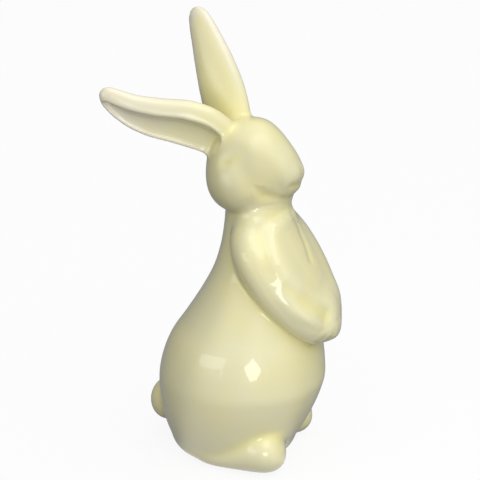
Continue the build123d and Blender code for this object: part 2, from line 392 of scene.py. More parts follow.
def ellipsoid(points, middle, sizes, tilt=0.0):
    """Distance from an ellipsoid that leans back by a tilt in degrees."""
    local = points - np.asarray(middle)
    s, c = math.sin(math.radians(tilt)), math.cos(math.radians(tilt))
    x, y, z = local[..., 0], local[..., 1], local[..., 2]
    return ellipse_distance((x, c * y + s * z, c * z - s * y), sizes)


def path_distance(points, path):
    """Distance to a bent line."""
    best = np.full(points.shape[:-1], np.inf)
    for start, end in zip(np.asarray(path[:-1], float), np.asarray(path[1:], float)):
        run = end - start
        share = np.clip((points - start) @ run / (run @ run), 0, 1)
        best = np.minimum(best, np.linalg.norm(points - start - share[..., None] * run, axis=-1))
    return best


def bump(points, middle, radius):
    """1 at a point, falling smoothly to 0 a few radii away."""
    return np.exp(-((points - np.asarray(middle)) ** 2).sum(-1) / radius**2)


def limb_form(side, shares, breadth, thickness):
    """A form along the arms' line: an arm at its side, or the chest between them."""
    middles = [
        (side * ARM_SPREAD * spread, SHOULDER[0] - ARM_REACH * reach, SHOULDER[1] - ARM_DROP * drop)
        for drop, reach, spread, _, _ in shares
    ]
    halves = [(breadth / 2 * broad, thickness / 2 * thick) for _, _, _, broad, thick in shares]
    return Limb(middles, halves)


def torso_rows():
    """The torso's levels from the shares."""
    rows = []
    for up, swell, lean in LOWER_SHARES:
        wide = (BASE_WIDTH + (BELLY_WIDTH - BASE_WIDTH) * swell) / 2
        deep = (BASE_WIDTH + (BELLY_DEPTH - BASE_WIDTH) * swell) / 2
        rows.append((BELLY_HEIGHT * up, 0, -BELLY_LEAN * lean, wide, deep))
    for up, left, lean in UPPER_SHARES:
        wide = (NECK_WIDTH + (BELLY_WIDTH - NECK_WIDTH) * left) / 2
        deep = (NECK_DEPTH + (BELLY_DEPTH - NECK_DEPTH) * left) / 2
        forward = BELLY_LEAN + (NECK_LEAN - BELLY_LEAN) * lean
        rows.append((BELLY_HEIGHT + (TORSO_HEIGHT - BELLY_HEIGHT) * up, 0, -forward, wide, deep))
    return rows


def torso_form():
    """The pear with its full chest, the neck's top inside the head."""
    pear = Stack((0, 0, 0), AXES[2], AXES[0], torso_rows())
    chest = limb_form(0, CHEST_SHARES, CHEST_DEPTH, CHEST_WIDTH)

    def distance(points):
        height = points[..., 2]
        body = smooth_max(pear(points), height - TORSO_HEIGHT, NECK_SOFTNESS)
        around = ((points > CHEST_BOX[0]) & (points < CHEST_BOX[1])).all(-1)
        body[around] = smooth_min(body[around], chest(points[around]), CHEST_SOFTNESS)
        return body

    return distance


def head_form():
    """The skull with full cheeks, the crease between cheek and snout, the eyes, the mouth and the nose."""
    rows = [
        (HEAD_LENGTH * along, 0, HEAD_HEIGHT / 2 * rise, HEAD_WIDTH / 2 * wide, HEAD_HEIGHT / 2 * high)
        for along, rise, wide, high in HEAD_SHARES
    ]
    skull = Stack((0, HEAD_BACK, HEAD_MIDDLE), -AXES[1], AXES[0], rows)

    def distance(points):
        folded = np.array(points)
        folded[..., 0] = np.abs(folded[..., 0])
        head = smooth_min(skull(points), ellipsoid(folded, CHEEK_MIDDLE, CHEEK_SIZE), CHEEK_SOFTNESS)
        head = smooth_min(head, ellipsoid(points, JAW_MIDDLE, JAW_SIZE), JAW_SOFTNESS)
        crease = path_distance(folded, CREASE_LINE) / CREASE_REACH
        mouth = path_distance(folded, MOUTH_LINE) / MOUTH_REACH
        head = head + MOUTH_DEPTH * np.exp(-(np.minimum(crease, mouth) ** 2))
        for depth, middle, radius in DIMPLES:
            head = head + depth * bump(folded, middle, radius)
        under_nose = path_distance(folded, NOSE_LINE) / NOSE_REACH
        return head + NOSE_DEPTH * np.exp(-(under_nose**2))

    return distance


def ear_form(name):
    """A leaf with a soft hollow on its outer side."""
    side, root, length, back, out, bow, sway = EAR_PLACES[name]
    back, out = math.radians(back), math.radians(out)
    ahead = math.cos(out)
    heading = np.array([side * math.sin(out), math.sin(back) * ahead, math.cos(back) * ahead])
    upper = np.array([0, -math.cos(back), math.sin(back)])

    def shift(along):
        return bow * math.sin(math.pi * along) + sway * math.sin(2 * math.pi * along)

    leaf_rows = [
        (length * along, shift(along), 0, EAR_WIDTH / 2 * wide, EAR_THICKNESS / 2 * thick)
        for along, wide, thick in EAR_SHARES
    ]
    alongs, wides, _ = np.array(EAR_SHARES).T
    hollow_rows = []
    for along, down, wide, thick in HOLLOW_SHARES:
        leaf_half = EAR_WIDTH / 2 * float(np.interp(along, alongs, wides))
        half_thick = EAR_THICKNESS / 2 * thick
        middle = shift(along) - leaf_half * down
        outward = side * half_thick * HOLLOW_OUT
        hollow_rows.append((length * along, middle, outward, leaf_half * wide, half_thick))
    leaf = Stack(root, heading, upper, leaf_rows)
    hollow = Stack(root, heading, upper, hollow_rows)

    def distance(points):
        return smooth_max(leaf(points), -hollow(points), HOLLOW_SOFTNESS)

    return distance


def arm_form(side):
    """An arm from the shoulder to the hand, kept to its own side where the hands meet."""
    limb = limb_form(side, ARM_SHARES, ARM_BREADTH, ARM_THICKNESS)

    def distance(points):
        palm = ellipsoid(points * (side, 1, 1), HAND_MIDDLE, HAND_SIZE)
        arm = smooth_min(limb(points), palm, PALM_SOFTNESS)
        return smooth_max(arm, -side * points[..., 0] - HANDS_OVERLAP, HANDS_SOFTNESS)

    return distance


def foot_form(name):
    """A wedge that rises to a round toe."""
    side, front = FOOT_FRONTS[name]
    rows = [
        (
            FOOT_LENGTH * along,
            side * (FOOT_ASIDE + TOE_ASIDE * (along - 0.5)),
            FOOT_HEIGHT * middle,
            FOOT_WIDTH / 2 * wide,
            FOOT_HEIGHT * high,
        )
        for along, wide, middle, high in FOOT_SHARES
    ]
    return Stack((0, front + FOOT_LENGTH, 0), -AXES[1], AXES[0], rows)


def tail_form():
    """The egg on the back of the base."""

    def distance(points):
        return ellipsoid(points, TAIL_MIDDLE, TAIL_SIZE, TAIL_TILT)

    return distance


FORMS = {
    "torso": torso_form(),
    "head": head_form(),
    "left_ear": ear_form("left_ear"),
    "right_ear": ear_form("right_ear"),
    "left_arm": arm_form(1),
    "right_arm": arm_form(-1),
    "left_foot": foot_form("left_foot"),
    "right_foot": foot_form("right_foot"),
    "tail": tail_form(),
}


def joined(name, total, points):
    """Distances with one more piece, its joint rounded as the glaze rounds it."""
    distance = FORMS[name](points)
    if name == "torso":
        return distance
    back, down = points[..., 1] - SHOULDER[0], points[..., 2] - SHOULDER[1]
    over_arms = (down * ARM_REACH - back * ARM_DROP) / math.hypot(ARM_REACH, ARM_DROP)
    return smooth_min(total, distance, np.interp(over_arms, (BELOW, ABOVE), PIECES[name][2]))


def based(total, points):
    """Distances with the flat base and the vent cut from the joined pieces."""
    height = points[..., 2]
    hole = np.hypot(points[..., 0], points[..., 1] - VENT_BACK) - VENT_RADIUS
    vent = np.maximum(hole, height - VENT_DEPTH)
    return smooth_max(smooth_max(total, -height, BASE_SOFTNESS), -vent, VENT_SOFTNESS)


def valleyed(total, points):
    """Distances with the valleys between the chest and the arms pressed in."""
    around = ((points > CHEST_BOX[0]) & (points < CHEST_BOX[1])).all(-1) & (np.abs(total) < FAR / 4)
    for depth, half_width, line in VALLEYS:
        total[around] += depth * np.exp(-((path_distance(points[around], line) / half_width) ** 2))
    return total


def figure(points):
    """Distance from the whole figure."""
    total = np.full(points.shape[:-1], FAR)
    for name, (low, high, _) in PIECES.items():
        near = ((points > low) & (points < high)).all(-1)
        total[near] = joined(name, total[near], points[near])
    return based(valleyed(total, points), points)


# Meshing


def figure_grid(step):
    """The lowest corner of a grid round the figure, and its distances, each form's in its own box only."""
    lows = np.min([low for low, _, _ in PIECES.values()], axis=0).astype(float)
    highs = np.max([high for _, high, _ in PIECES.values()], axis=0).astype(float)
    shape = np.ceil((highs - lows) / step).astype(int) + 1
    total = np.full(shape, FAR)
    for name, (low, high, _) in PIECES.items():
        start = np.maximum(0, np.floor((np.array(low) - lows) / step).astype(int))
        end = np.minimum(shape, np.ceil((np.array(high) - lows) / step).astype(int) + 1)
        part = tuple(slice(a, b) for a, b in zip(start, end))
        axes = [lows[i] + step * np.arange(start[i], end[i]) for i in range(3)]
        points = np.stack(np.meshgrid(*axes, indexing="ij"), -1)
        total[part] = joined(name, total[part], points)
    axes = [lows[i] + step * np.arange(shape[i]) for i in range(3)]
    points = np.stack(np.meshgrid(*axes, indexing="ij"), -1)
    return lows, based(valleyed(total, points), points)


def net(field, low, step):
    """Vertices and quads on the zero level of a grid: one vertex in each cell that it crosses."""
    inside = field < 0
    corners = [(i, j, k) for i in (0, 1) for j in (0, 1) for k in (0, 1)]
    size = np.array(field.shape) - 1
    count = sum(
        inside[i : size[0] + i, j : size[1] + j, k : size[2] + k].astype(np.int8) for i, j, k in corners
    )
    crossed = (count > 0) & (count < 8)
    cells = np.argwhere(crossed)
    ids = np.full(crossed.shape, -1, np.int64)
    ids[crossed] = np.arange(len(cells))
    values = np.stack([field[tuple((cells + corner).T)] for corner in corners], 1)
    total, hits = np.zeros((len(cells), 3)), np.zeros(len(cells))
    for a, first in enumerate(corners):
        for b, second in enumerate(corners):
            run = np.subtract(second, first)
            if b <= a or np.abs(run).sum() != 1:
                continue
            changes = (values[:, a] < 0) != (values[:, b] < 0)
            share = values[changes, a] / (values[changes, a] - values[changes, b])
            total[changes] += np.array(first) + share[:, None] * run
            hits[changes] += 1
    vertices = low + step * (cells + total / hits[:, None])
    quads = []
    for axis in range(3):
        ahead = np.roll(inside, -1, axis)
        edge = inside != ahead
        edge[tuple(slice(-1, None) if i == axis else slice(None) for i in range(3))] = False
        crossings = np.argwhere(edge)
        u, v = AXES.astype(int)[[i for i in range(3) if i != axis]]
        around = [ids[tuple((crossings - shift).T)] for shift in (0 * u, u, u + v, v)]
        quad = np.stack(around, 1)
        leaving = inside[tuple(crossings.T)] ^ (axis == 1)
        quad[~leaving] = quad[~leaving][:, ::-1]
        quads.append(quad)
    return vertices, np.vstack(quads)


def slopes(points, reach):
    """The direction in which the distance grows, and the mean distance a reach away from each point."""
    ways = np.array([(1, -1, -1), (-1, -1, 1), (-1, 1, -1), (1, 1, 1)]) / math.sqrt(3)
    around = [figure(points + reach * way) for way in ways]
    gradient = sum(value[:, None] * way for value, way in zip(around, ways)) * (3 / len(ways)) / reach
    return gradient, sum(around) / len(ways)


def settled(points, rounds=2):
    """Points moved onto the skin."""
    for _ in range(rounds):
        gradient, mean = slopes(points, SETTLE_REACH)
        square = np.maximum((gradient**2).sum(-1), FLATTEST)
        points = points - (mean / square)[:, None] * gradient
    return points


def part_faces(faces, values, vertices):
    """Faces cut in two where a value at the vertices changes sign.

    Takes lists of quads and triangles as one list of index arrays, and returns the faces below zero, the
    others and the vertices with those on the cut added.
    """
    below, above = [], []
    triangles = []
    for group in faces:
        under = values[group] < 0
        below.append(group[under.all(1)])
        above.append(group[~under.any(1)])
        mixed = group[under.any(1) & ~under.all(1)]
        if group.shape[1] == 4:
            mixed = np.vstack([mixed[:, [0, 1, 2]], mixed[:, [0, 2, 3]]])
        triangles.append(mixed)
    triangles = np.vstack(triangles)
    under = values[triangles] < 0
    below.append(triangles[under.all(1)])
    above.append(triangles[~under.any(1)])
    mixed, under = triangles[under.any(1) & ~under.all(1)], under[under.any(1) & ~under.all(1)]
    # Each triangle is turned so that its lone corner comes first
    lone_under = under.sum(1) == 1
    lone = np.where(lone_under, under.argmax(1), (~under).argmax(1))
    turned = np.stack([mixed[np.arange(len(mixed)), (lone + i) % 3] for i in range(3)], 1)
    ends = np.vstack([turned[:, [0, 1]], turned[:, [0, 2]]])
    ends.sort(axis=1)
    edges, which = np.unique(ends, axis=0, return_inverse=True)
    which = which.reshape(-1)
    share = values[edges[:, 0]] / (values[edges[:, 0]] - values[edges[:, 1]])
    added = vertices[edges[:, 0]] + share[:, None] * (vertices[edges[:, 1]] - vertices[edges[:, 0]])
    first = len(vertices) + which[: len(turned)]
    second = len(vertices) + which[len(turned) :]
    tips = np.stack([turned[:, 0], first, second], 1)
    rests = np.stack([first, turned[:, 1], turned[:, 2], second], 1)
    below += [tips[lone_under], rests[~lone_under]]
    above += [rests[lone_under], tips[~lone_under]]
    return below, above, np.vstack([vertices, added])


def lid_loops(faces):
    """The open edges of a piece as closed loops of vertices, in the order that a lid's faces need."""
    starts = np.concatenate([group.reshape(-1) for group in faces])
    ends = np.concatenate([np.roll(group, -1, axis=1).reshape(-1) for group in faces])
    pairs = set(zip(starts.tolist(), ends.tolist()))
    following = {}
    for start, end in pairs:
        if (end, start) not in pairs:
            following.setdefault(end, []).append(start)
    loops = []
    while following:
        first = min(following)
        loop, here = [], first
        while here in following:
            loop.append(here)
            choices = following[here]
            here = choices.pop()
            if not choices:
                del following[loop[-1]]
        loops.append(loop)
    return loops


def edges_of(groups):
    """The edges of all faces, one pair of vertices each."""
    pairs = [np.stack([group.reshape(-1), np.roll(group, -1, axis=1).reshape(-1)], 1) for group in groups]
    return np.vstack(pairs)


def spread(values, vertices_count, edges, rounds):
    """Values at the vertices evened out along the edges."""
    weights = np.bincount(edges.reshape(-1), minlength=vertices_count).astype(float)
    for _ in range(rounds):
        total = np.bincount(edges[:, 0], values[edges[:, 1]], vertices_count)
        total += np.bincount(edges[:, 1], values[edges[:, 0]], vertices_count)
        values = 0.5 * values + 0.5 * total / np.maximum(weights, 1)
    return values


class Skin:
    """The whole glazed skin, meshed once and parted into pieces that share their seams' vertices."""

    def __init__(self, step):
        low, field = figure_grid(step)
        vertices, quads = net(field, low, step)
        vertices = settled(vertices, rounds=3)
        rest = [quads, np.empty((0, 3), int)]
        self.faces = {}
        names = list(PIECES)
        for i, name in enumerate(names[:0:-1]):
            others = [other for other in names if other != name and other not in self.faces]
            own = FORMS[name](vertices)
            value = own - np.min([FORMS[other](vertices) for other in others], axis=0)
            value = spread(value, len(vertices), edges_of(rest), SEAM_ROUNDS)
            value = np.where(np.abs(value) < SEAM_SNAP, -SEAM_SNAP, value)
            self.faces[name], rest, grown = part_faces(rest, value, vertices)
            added = settled(grown[len(vertices) :])
            vertices = np.vstack([vertices, added])
        self.faces["torso"] = rest
        for name in names:
            self.faces[name] = self._joined(self.faces[name])
        self.vertices = vertices
        # The mean distance a reach away is the sum of the two bends times the reach squared, over 6
        bend = 6 * slopes(vertices, BEND_REACH)[1] / BEND_REACH**2
        gradient = slopes(vertices, NORMAL_REACH)[0]
        self.normals = gradient / np.linalg.norm(gradient, axis=1, keepdims=True)
        edges = edges_of([group for groups in self.faces.values() for group in groups])
        bend = np.clip(bend, -STRONGEST_BEND, STRONGEST_BEND)
        self.bend = spread(bend, len(vertices), edges, BEND_ROUNDS)
        self.wide_bend = spread(self.bend, len(vertices), edges, WIDE_BEND_ROUNDS)

    @staticmethod
    def _joined(groups):
        """All quads in one array and all triangles in another."""
        quads = [group for group in groups if group.shape[1] == 4]
        triangles = [group for group in groups if group.shape[1] == 3]
        return [np.vstack(quads), np.vstack(triangles)]


_skins = {}


def skin(step):
    """The skin at a mesh size, made once."""
    if step not in _skins:
        _skins[step] = Skin(step)
    return _skins[step]


def make_piece(name, material):
    """The closed mesh object of one piece of the skin, which stands for the CAD node of the same name."""
    settings = bpy.context.scene.rabbit_shape
    whole = skin(settings.mesh_step / MM * (1.0))
    groups = whole.faces[name]
    loops = lid_loops(groups)
    used = np.unique(np.concatenate([group.reshape(-1) for group in groups]))
    place = np.full(len(whole.vertices), -1)
    place[used] = np.arange(len(used))
    points = whole.vertices[used]
    faces = [face for group in groups for face in place[group].tolist()]
    normals = whole.normals[used]
    lids = []
    for loop in loops:
        ring = place[loop]
        lids += [(int(a), int(b), len(points)) for a, b in zip(ring, np.roll(ring, -1))]
        middle, inward = points[ring].mean(0), -normals[ring].mean(0)
        reach = np.linalg.norm(points[ring] - middle, axis=1).mean()
        points = np.vstack([points, middle + inward * min(reach / 2, LID_DEPTH)])
    mesh = bpy.data.meshes.new(name + "_glazed")
    mesh.from_pydata((points * MM).tolist(), [], faces + lids)
    mesh.materials.append(material)
    for key, values in (("bend", whole.bend), ("wide_bend", whole.wide_bend)):
        attribute = mesh.attributes.new(key, "FLOAT", "POINT")
        attribute.data.foreach_set("value", np.r_[values[used], np.zeros(len(loops))].astype(np.float32))
    shades = []
    for polygon in mesh.polygons:
        on_lid = polygon.index >= len(faces)
        shades += [tuple(polygon.normal) if on_lid else tuple(normals[v]) for v in polygon.vertices]
    mesh.polygons.foreach_set("use_smooth", [True] * len(mesh.polygons))
    mesh.normals_split_custom_set(shades)
    mesh.validate()
    piece = bpy.data.objects.new(name + "_glazed", mesh)
    bpy.context.collection.objects.link(piece)
    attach(piece, "root")
    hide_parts(name)
    return piece


# Materials

# Glaze: the bends between which it gathers and draws thin, how the drift sways them, and the full shares
POOLED_BEND, POOLED_SWAY, POOLED_SHARE = (0.03, -0.16), 0.05, 0.5
THIN_BEND, THIN_SWAY, THIN_SHARE = (0.22, 0.75), 0.12, 0.75
# Drift at which the glaze goes from usual to deeper, and from smooth to rougher, with the two roughnesses
DEEPER_DRIFT, ROUGHER_DRIFT, ROUGHNESS = (0.35, 0.68), (0.3, 0.7), (0.3, 0.38)
# The head's middle, and the distances from it between which the ears grow lighter: painted light that
# brightens the ears, chiefly their shaded hollows
HEAD_CORE, PAINTED_LIGHT_AWAY = (0.0, 0.0, 0.15), (0.024, 0.06)
SPECK_GRAIN, SPECK_SHARE, SPECK_COLOUR = (0.62, 0.72), 0.06, (0.86, 0.83, 0.66, 1.0)
# Heights and facings between which the glaze gives way to bare clay, and how the drift sways the heights
BARE_HEIGHT, BARE_SWAY, BARE_FACING = (0.0012, 0.0002), 0.0016, (-0.4, -0.8)
CLAY_SHADE = (0.62, 0.55, 0.43, 1.0)
# Paper as the lights find it and as the camera sees it, and how much of that is plain white
PAPER_GREYS = ((0.13, 0.13, 0.14, 1.0), (0.17, 0.17, 0.18, 1.0))
PAPER_WHITES, PAPER_GLOW = ((0.86, 0.86, 0.87, 1.0), (0.92, 0.92, 0.93, 1.0)), 0.9
WHITE = (1.0, 1.0, 1.0, 1.0)


class Nodes:
    """Adds shader nodes to a material or world and joins them."""

    def __init__(self, tree):
        self.tree = tree
        tree.nodes.clear()

    def add(self, kind, inputs=None, **settings):
        """A node with its settings, and its inputs from values or other nodes' sockets."""
        node = self.tree.nodes.new(kind)
        for key, value in settings.items():
            setattr(node, key, value)
        for key, value in (inputs or {}).items():
            if isinstance(value, bpy.types.NodeSocket):
                self.tree.links.new(value, node.inputs[key])
            else:
                node.inputs[key].default_value = value
        return node

    def math(self, operation, a, b):
        """The result socket of a Math node."""
        return self.add("ShaderNodeMath", {0: a, 1: b}, operation=operation).outputs[0]

    def mix(self, share, a, b):
        """The result socket of a colour Mix node."""
        return self.add("ShaderNodeMix", {0: share, 6: a, 7: b}, data_type="RGBA").outputs[2]

    def noise(self, where, scale, detail, roughness=0.5):
        """The grey socket of a Noise Texture node."""
        inputs = {"Vector": where, "Scale": scale, "Detail": detail, "Roughness": roughness}
        return self.add("ShaderNodeTexNoise", inputs).outputs["Fac"]

    def measure(self, operation, a, b):
        """The value socket of a Vector Math node."""
        return self.add("ShaderNodeVectorMath", {0: a, 1: b}, operation=operation).outputs["Value"]

    def between(self, value, low, high, to_low=0.0, to_high=1.0):
        """A value moved smoothly from one range to another."""
        inputs = {"Value": value, "From Min": low, "From Max": high, "To Min": to_low, "To Max": to_high}
        return self.add("ShaderNodeMapRange", inputs, interpolation_type="SMOOTHSTEP").outputs[0]

    def background_rays(self):
        """1 for the rays that show the background: the camera's, and those in gloss and glass."""
        ray = self.add("ShaderNodeLightPath").outputs
        seen = self.math("MAXIMUM", ray["Is Camera Ray"], ray["Is Glossy Ray"])
        return self.math("MAXIMUM", seen, ray["Is Transmission Ray"])


def glaze_material(name="pale_yellow_glaze", gloss_blur=0.03, painted_light_share=0.0):
    """Pale yellow glaze over cream clay: deeper where it pools, thin and whiter on ridges, bare underneath.

    On the ears it also grows lighter away from the head, as painted light that brightens them, chiefly their
    shaded hollows.
    """
    if name in bpy.data.materials:
        return bpy.data.materials[name]
    look = bpy.context.scene.rabbit_glaze
    material = bpy.data.materials.new(name)
    material.use_nodes = True
    nodes = Nodes(material.node_tree)
    where = nodes.add("ShaderNodeTexCoord").outputs["Object"]
    bend = nodes.add("ShaderNodeAttribute", attribute_name="bend").outputs["Fac"]
    wide = nodes.add("ShaderNodeAttribute", attribute_name="wide_bend").outputs["Fac"]

    drift = nodes.noise(where, scale=34.0, detail=3.0, roughness=0.55)
    grain = nodes.noise(where, scale=900.0, detail=2.0)
    swayed = nodes.math("ADD", wide, nodes.math("MULTIPLY", drift, POOLED_SWAY))
    pooled = nodes.between(swayed, *POOLED_BEND)
    swayed = nodes.math("ADD", bend, nodes.math("MULTIPLY", drift, THIN_SWAY))
    thin = nodes.between(swayed, *THIN_BEND)

    colour = nodes.mix(nodes.between(drift, *DEEPER_DRIFT), tuple(look.glaze), tuple(look.glaze_deep))
    away = nodes.measure("DISTANCE", where, HEAD_CORE)
    # Lighter away from the head on the ears: painted light that brightens their shaded hollows
    colour = nodes.mix(nodes.between(away, *PAINTED_LIGHT_AWAY, 0.0, painted_light_share), colour, tuple(look.thin))
    colour = nodes.mix(nodes.math("MULTIPLY", pooled, POOLED_SHARE), colour, tuple(look.pooled))
    colour = nodes.mix(nodes.math("MULTIPLY", thin, THIN_SHARE), colour, tuple(look.thin))
    colour = nodes.mix(nodes.between(grain, *SPECK_GRAIN, 0.0, SPECK_SHARE), colour, SPECK_COLOUR)

    geometry = nodes.add("ShaderNodeNewGeometry")
    height = nodes.add("ShaderNodeSeparateXYZ", {0: where}).outputs["Z"]
    facing = nodes.add("ShaderNodeSeparateXYZ", {0: geometry.outputs["Normal"]}).outputs["Z"]
    swayed = nodes.math("SUBTRACT", height, nodes.math("MULTIPLY", drift, BARE_SWAY))
    low = nodes.between(swayed, *BARE_HEIGHT)
    bare = nodes.math("MULTIPLY", low, nodes.between(facing, *BARE_FACING))

    clay_grain = nodes.noise(where, scale=420.0, detail=6.0)
    clay = nodes.mix(clay_grain, tuple(look.clay), CLAY_SHADE)
    ripple = nodes.noise(where, scale=70.0, detail=1.0)
    relief = nodes.add("ShaderNodeBump", {"Height": ripple, "Strength": 0.05, "Distance": 0.0012}).outputs[0]
    glazed = nodes.add(
        "ShaderNodeBsdfPrincipled",
        {
            "Base Color": colour,
            "Roughness": nodes.between(drift, *ROUGHER_DRIFT, *ROUGHNESS),
            "Normal": relief,
            "Coat Normal": relief,
        },
    )
    glazed.inputs["IOR"].default_value = 1.5
    glazed.inputs["Coat Weight"].default_value = 1.0
    glazed.inputs["Coat Roughness"].default_value = gloss_blur
    glazed.inputs["Coat IOR"].default_value = 1.5
    pores = nodes.add("ShaderNodeBump", {"Height": clay_grain, "Strength": 0.4, "Distance": 0.0003})
    biscuit = nodes.add(
        "ShaderNodeBsdfPrincipled",
        {"Base Color": clay, "Roughness": 0.85, "Normal": pores.outputs[0]},
    )
    shader = nodes.add("ShaderNodeMixShader", {0: bare, 1: glazed.outputs[0], 2: biscuit.outputs[0]})
    nodes.add("ShaderNodeOutputMaterial", {"Surface": shader.outputs[0]})
    return material


def floor_material():
    """Matt white paper that shows the figure's soft shadow and otherwise looks as white as the backdrop."""
    material = bpy.data.materials.new("studio_paper")
    material.use_nodes = True
    nodes = Nodes(material.node_tree)
    where = nodes.add("ShaderNodeTexCoord").outputs["Object"]
    fibre = nodes.noise(where, scale=260.0, detail=4.0)
    lit = nodes.add("ShaderNodeBsdfDiffuse", {"Color": nodes.mix(fibre, *PAPER_GREYS)})
    pale = nodes.add("ShaderNodeBsdfDiffuse", {"Color": nodes.mix(fibre, *PAPER_WHITES)})
    white = nodes.add("ShaderNodeEmission", {"Color": WHITE, "Strength": 1.0})
    background = nodes.add("ShaderNodeMixShader", {0: PAPER_GLOW, 1: pale.outputs[0], 2: white.outputs[0]})
    seen = nodes.background_rays()
    shader = nodes.add("ShaderNodeMixShader", {0: seen, 1: lit.outputs[0], 2: background.outputs[0]})
    nodes.add("ShaderNodeOutputMaterial", {"Surface": shader.outputs[0]})
    material.cycles.emission_sampling = "NONE"
    return material


# Stage

# Soft lights: place, target, size, power, and roll about the lamp's own axis
LAMPS = {
    "window": ((-0.428, -0.232, 0.072), (-0.03, -0.02, 0.06), (0.118, 0.172), 0.32, 41.0),
    "overhead": ((-0.33, -0.475, 0.83), (-0.018, -0.02, 0.119), (0.85, 0.62), 2.0, 0.0),
    "far_window": ((-0.52, 0.29, 0.14), (0, 0, 0.06), (0.4, 0.2), 0.42, 0.0),
}

# Surround: the side it is brightest on, the facings between which it grows bright, and its darkest colour
BRIGHT_SIDE = (-0.41, -0.54, 0.74)
BRIGHT_FACING = (-0.3, 0.95)
SURROUND_DARK = (0.03, 0.035, 0.04, 1.0)

# Camera: what it looks at, its scale there, its sensor in millimetres, and the picture's width and shift
AIM = (0, -0.0035, 0.105)
PIXELS_PER_METRE, SENSOR_WIDTH = 2090.0, 36.0
PICTURE_WIDTH, SHIFT_RIGHT, SHIFT_UP = 480, -2, 8

# Card: how far it bends to each side, its profile as reach and height, where it fades, and its two colours
CARD_SPREAD, CARD_STEPS = 145.0, 72
CARD_PROFILE = (
    (0.022, 0.0004),
    (0.12, 0.0004),
    (0.3, 0.001),
    (0.5, 0.03),
    (0.62, 0.12),
    (0.68, 0.4),
    (0.68, 0.9),
)
CARD_FADE = (-0.1, -0.75)
CARD_COLOURS = ((0.28, 0.29, 0.30, 1.0), (0.97, 0.97, 0.97, 1.0))

# Floor: its rings and spokes, and how far it lies under the base
FLOOR_RINGS, FLOOR_SPOKES, FLOOR_DROP = 12, 96, 0.0002


def aimed(place, target):
    """A rotation that looks from a place to a target."""
    return (Vector(target) - Vector(place)).to_track_quat("-Z", "Y")


def add_softbox(name, place, target, size, power, roll):
    """A rectangular soft light, rolled about its own axis by an angle in degrees."""
    data = bpy.data.lights.new(name, "AREA")
    data.shape = "RECTANGLE"
    data.size, data.size_y = size
    data.energy = power
    light = bpy.data.objects.new(name, data)
    light.location = place
    light.rotation_mode = "QUATERNION"
    light.rotation_quaternion = aimed(place, target) @ Quaternion((0, 0, 1), math.radians(roll))
    bpy.context.collection.objects.link(light)
    return light


def keep_off_head(light):
    """Lets a light reach all that is built so far but the head, as a flag beside the lamp would."""
    lit = bpy.data.collections.new("all_but_the_head")
    for item in bpy.context.collection.objects:
        if item.type == "MESH" and not item.name.startswith("head"):
            lit.objects.link(item)
    light.light_linking.receiver_collection = lit


def build_world(strength):
    """A pale surround that the camera sees as white."""
    world = bpy.data.worlds.new("studio_surround")
    bpy.context.scene.world = world
    world.use_nodes = True
    nodes = Nodes(world.node_tree)
    where = nodes.add("ShaderNodeTexCoord").outputs["Generated"]
    facing = nodes.measure("DOT_PRODUCT", where, BRIGHT_SIDE)
    tone = nodes.mix(nodes.between(facing, *BRIGHT_FACING), SURROUND_DARK, WHITE)
    lit = nodes.add("ShaderNodeBackground", {"Color": tone, "Strength": strength})
    white = nodes.add("ShaderNodeBackground", {"Color": WHITE, "Strength": 1.0})
    seen = nodes.background_rays()
    shader = nodes.add("ShaderNodeMixShader", {0: seen, 1: lit.outputs[0], 2: white.outputs[0]})
    nodes.add("ShaderNodeOutputWorld", {"Surface": shader.outputs[0]})


def build_camera(azimuth, elevation, distance):
    """The camera at the photograph's angle."""
    a, e = math.radians(azimuth), math.radians(elevation)
    back = Vector((math.sin(a) * math.cos(e), -math.cos(a) * math.cos(e), math.sin(e)))
    data = bpy.data.cameras.new("camera")
    data.sensor_width = SENSOR_WIDTH
    data.lens = PIXELS_PER_METRE * distance / PICTURE_WIDTH * SENSOR_WIDTH
    data.shift_x, data.shift_y = SHIFT_RIGHT / PICTURE_WIDTH, SHIFT_UP / PICTURE_WIDTH
    data.clip_start, data.clip_end = 0.01, 10.0
    camera = bpy.data.objects.new("camera", data)
    camera.location = Vector(AIM) + back * distance
    camera.rotation_mode = "QUATERNION"
    camera.rotation_quaternion = (-back).to_track_quat("-Z", "Y")
    bpy.context.collection.objects.link(camera)
    bpy.context.scene.camera = camera


def card_material(behind):
    """Grey that fades to white toward the card's two ends."""
    material = bpy.data.materials.new("grey_card")
    material.use_nodes = True
    nodes = Nodes(material.node_tree)
    where = nodes.add("ShaderNodeTexCoord").outputs["Object"]
    way = nodes.add("ShaderNodeVectorMath", {0: where}, operation="NORMALIZE").outputs["Vector"]
    straight = (math.sin(behind), -math.cos(behind), 0.0)
    ahead = nodes.measure("DOT_PRODUCT", way, straight)
    tone = nodes.mix(nodes.between(ahead, *CARD_FADE), *CARD_COLOURS)
    paper = nodes.add("ShaderNodeEmission", {"Color": tone, "Strength": 1.0})
    nodes.add("ShaderNodeOutputMaterial", {"Surface": paper.outputs[0]})
    material.cycles.emission_sampling = "NONE"
    return material


def add_card(behind):
    """A bent grey card round the back of the figure, for its gloss to show where it turns away."""
    behind, half_turn = math.radians(behind), math.radians(CARD_SPREAD)
    points, faces = [], []
    rows = len(CARD_PROFILE)
    for i in range(CARD_STEPS + 1):
        turn = behind + half_turn * (2 * i / CARD_STEPS - 1)
        s, c = math.sin(turn), math.cos(turn)
        points += [(reach * s, -reach * c, height) for reach, height in CARD_PROFILE]
    for i in range(CARD_STEPS):
        for j in range(rows - 1):
            a, b = i * rows + j, (i + 1) * rows + j
            faces.append((a, a + 1, b + 1, b))
    mesh = bpy.data.meshes.new("grey_card")
    mesh.from_pydata(points, [], faces)
    mesh.materials.append(card_material(behind))
    card = bpy.data.objects.new("grey_card", mesh)
    card.visible_camera = card.visible_diffuse = card.visible_shadow = False
    bpy.context.collection.objects.link(card)


